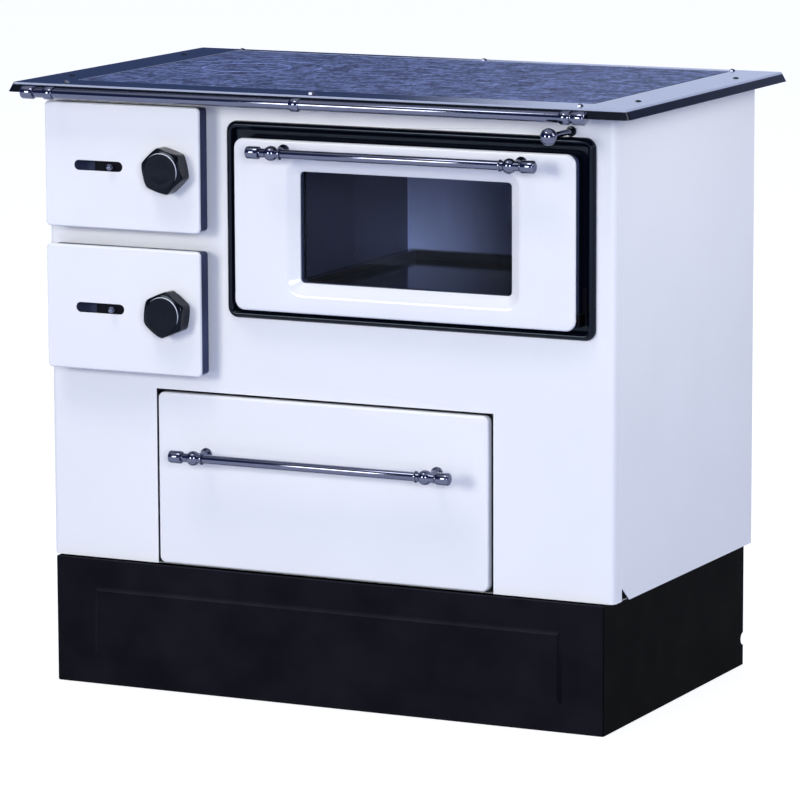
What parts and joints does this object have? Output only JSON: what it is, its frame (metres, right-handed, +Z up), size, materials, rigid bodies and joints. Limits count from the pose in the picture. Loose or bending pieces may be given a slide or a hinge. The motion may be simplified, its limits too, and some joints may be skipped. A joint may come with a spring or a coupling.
{
  "type": "wood cookstove",
  "caption": "Freestanding enamelled wood cookstove with a firebox and ash door on the left, a glazed drop-down oven, a fuel drawer, a cooking plate with a lift-out hob and a front rail.",
  "frame": {"origin": "on the floor, below the middle of the stove's bounding box", "axes": "+X towards the viewer's right when facing the stove, +Y back towards the wall, +Z up"},
  "size_m": [0.938, 0.648, 0.8543],
  "materials": {
    "black_paint": "baked black paint on folded steel sheet, semi-gloss",
    "white_enamel": "vitreous white enamel on pressed steel, glossy",
    "black_enamel": "vitreous black enamel, glossy",
    "slate_paint": "dark heat-proof paint on cast iron, satin",
    "ground_iron": "cast iron ground flat along the plate, slightly blued",
    "dark_iron": "raw grey cast iron, matt",
    "chrome": "bright chromium plate on turned brass and steel",
    "steel": "bare steel, as machined",
    "zinc_sheet": "galvanised steel sheet, dull",
    "fireclay": "fired clay brick, rough",
    "bakelite": "moulded black phenolic resin, polished",
    "oven_glass": "toughened float glass, lightly tinted"
  },
  "bodies": {
    "stove": {"plinth_front": "black_paint", "plinth_side_left": "black_paint", "plinth_side_right": "black_paint", "plinth_rear": "black_paint", "base_panel": "zinc_sheet", "front_panel": "white_enamel", "side_panel_left": "white_enamel", "side_panel_right": "white_enamel", "rear_panel": "zinc_sheet", "mid_shelf": "zinc_sheet", "top_frame": "black_enamel", "cooking_plate_left": "ground_iron", "cooking_plate_right": "ground_iron", "rail_bar": "chrome", "rail_bracket_left": "chrome", "rail_bracket_middle": "chrome", "rail_bracket_right": "chrome", "firebox_casing": "dark_iron", "firebrick_left": "fireclay", "firebrick_right": "fireclay", "firebrick_rear": "fireclay", "grate": "dark_iron", "ash_pan": "zinc_sheet", "door_hinge_strap": "steel", "oven_surround": "black_enamel", "oven_box": "black_enamel", "oven_tray": "black_enamel", "oven_hinge_left": "black_paint", "oven_hinge_right": "black_paint", "damper_bush": "black_enamel", "flue_box": "zinc_sheet", "flue_collar": "dark_iron", "drawer_runner_left": "zinc_sheet", "drawer_runner_right": "zinc_sheet"},
    "hob_ring": {"hob_ring": "ground_iron"},
    "hob_lid": {"hob_lid": "ground_iron"},
    "fire_door": {"fire_door_cover": "white_enamel", "fire_door_frame": "slate_paint", "fire_door_baffle": "dark_iron"},
    "fire_knob": {"fire_door_knob": "bakelite", "fire_door_latch": "steel"},
    "fire_regulator": {"fire_air_regulator": "chrome"},
    "ash_door": {"ash_door_cover": "white_enamel", "ash_door_frame": "slate_paint"},
    "ash_knob": {"ash_door_knob": "bakelite", "ash_door_latch": "steel"},
    "ash_regulator": {"ash_air_regulator": "chrome"},
    "oven_door": {"oven_door_cover": "white_enamel", "oven_door_frame": "slate_paint", "oven_door_glass": "oven_glass", "oven_door_inner_panel": "black_enamel", "oven_handle_bar": "chrome", "oven_handle_post_left": "chrome", "oven_handle_post_right": "chrome"},
    "damper": {"damper_rod": "chrome"},
    "drawer": {"drawer_front": "white_enamel", "drawer_box": "zinc_sheet", "drawer_handle_bar": "chrome", "drawer_handle_post_left": "chrome", "drawer_handle_post_right": "chrome"}
  },
  "joints": [
    {"name": "fire_door_hinge", "type": "hinge", "parent": "stove", "child": "fire_door", "pos_m": [-0.404, -0.256, 0.7382], "axis": [0, 0, -1], "range_deg": [0, 105]},
    {"name": "fire_knob_turn", "type": "hinge", "parent": "fire_door", "child": "fire_knob", "pos_m": [-0.22, -0.272, 0.7382], "axis": [0, -1, 0], "range_deg": [0, 90]},
    {"name": "fire_air_slide", "type": "slide", "parent": "fire_door", "child": "fire_regulator", "axis": [1, 0, 0], "range_m": [-0.05, 0.008]},
    {"name": "ash_door_hinge", "type": "hinge", "parent": "stove", "child": "ash_door", "pos_m": [-0.404, -0.256, 0.5396], "axis": [0, 0, -1], "range_deg": [0, 105]},
    {"name": "ash_knob_turn", "type": "hinge", "parent": "ash_door", "child": "ash_knob", "pos_m": [-0.22, -0.272, 0.5396], "axis": [0, -1, 0], "range_deg": [0, 90]},
    {"name": "ash_air_slide", "type": "slide", "parent": "ash_door", "child": "ash_regulator", "axis": [1, 0, 0], "range_m": [-0.05, 0.008]},
    {"name": "oven_door_hinge", "type": "hinge", "parent": "stove", "child": "oven_door", "pos_m": [0.1285, -0.251, 0.56045], "axis": [1, 0, 0], "range_deg": [0, 90]},
    {"name": "damper_slide", "type": "slide", "parent": "stove", "child": "damper", "axis": [0, 1, 0], "range_m": [0, 0.057]},
    {"name": "drawer_slide", "type": "slide", "parent": "stove", "child": "drawer", "axis": [0, -1, 0], "range_m": [0, 0.38]},
    {"name": "hob_ring_lift", "type": "slide", "parent": "stove", "child": "hob_ring", "axis": [0, 0, 1], "range_m": [0, 0.12]},
    {"name": "hob_lid_lift", "type": "slide", "parent": "hob_ring", "child": "hob_lid", "axis": [0, 0, 1], "range_m": [0, 0.1]}
  ]
}
